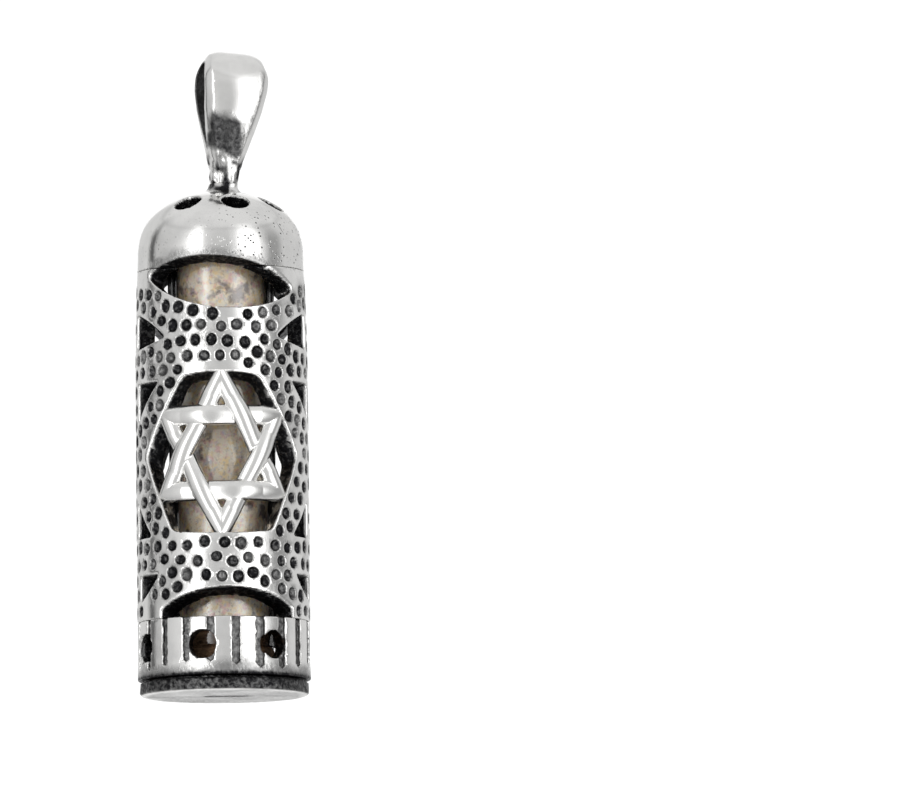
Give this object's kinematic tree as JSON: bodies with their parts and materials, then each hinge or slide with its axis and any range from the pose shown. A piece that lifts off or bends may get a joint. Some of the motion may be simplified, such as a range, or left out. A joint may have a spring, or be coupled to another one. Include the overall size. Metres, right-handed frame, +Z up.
{
  "type": "mezuzah case pendant",
  "caption": "Pierced silver tube pendant with a domed cap, bail loop and screw-in base, holding a rolled scroll in a glass vial.",
  "frame": {"origin": "middle of the underside of the base, on the case's axis", "axes": "+Z up the case's axis towards the bail, -Y towards the front, +X to the right seen from the front"},
  "size_m": [0.0084, 0.0086, 0.0317],
  "materials": {
    "silver_dome": "bright polished cast silver, dark patina in its holes and seams",
    "silver_lattice": "polished cast silver with blackened pits and window edges",
    "silver_ring": "polished silver with blackened rough grooves",
    "silver_emblem": "mirror polished domed silver",
    "silver_bail": "hand polished silver, patina at the solder",
    "silver_base": "brushed silver with an oxidised dark edge",
    "vial_glass": "clear polished glass",
    "stopper_cork": "brown cork, fine grained",
    "scroll_parchment": "mottled parchment, matte"
  },
  "bodies": {
    "case": {"dome_cap": "silver_dome", "lattice_sleeve": "silver_lattice", "foot_ring": "silver_ring", "front_emblem": "silver_emblem", "back_emblem": "silver_emblem", "bail_loop": "silver_bail", "bail_post": "silver_bail"},
    "vial": {"glass_vial": "vial_glass"},
    "scroll": {"scroll": "scroll_parchment"},
    "stopper": {"vial_stopper": "stopper_cork"},
    "base": {"base_plug": "silver_base"}
  },
  "joints": [
    {"name": "vial_draw", "type": "slide", "parent": "case", "child": "vial", "axis": [0, 0, -1], "range_m": [0, 0.024]},
    {"name": "scroll_draw", "type": "slide", "parent": "vial", "child": "scroll", "axis": [0, 0, -1], "range_m": [0, 0.02]},
    {"name": "stopper_draw", "type": "slide", "parent": "scroll", "child": "stopper", "axis": [0, 0, -1], "range_m": [0, 0.004]},
    {"name": "base_turn", "type": "hinge", "parent": "stopper", "child": "base", "pos_m": [0, 0, 0], "axis": [0, 0, -1], "range_deg": [0, 900]}
  ]
}
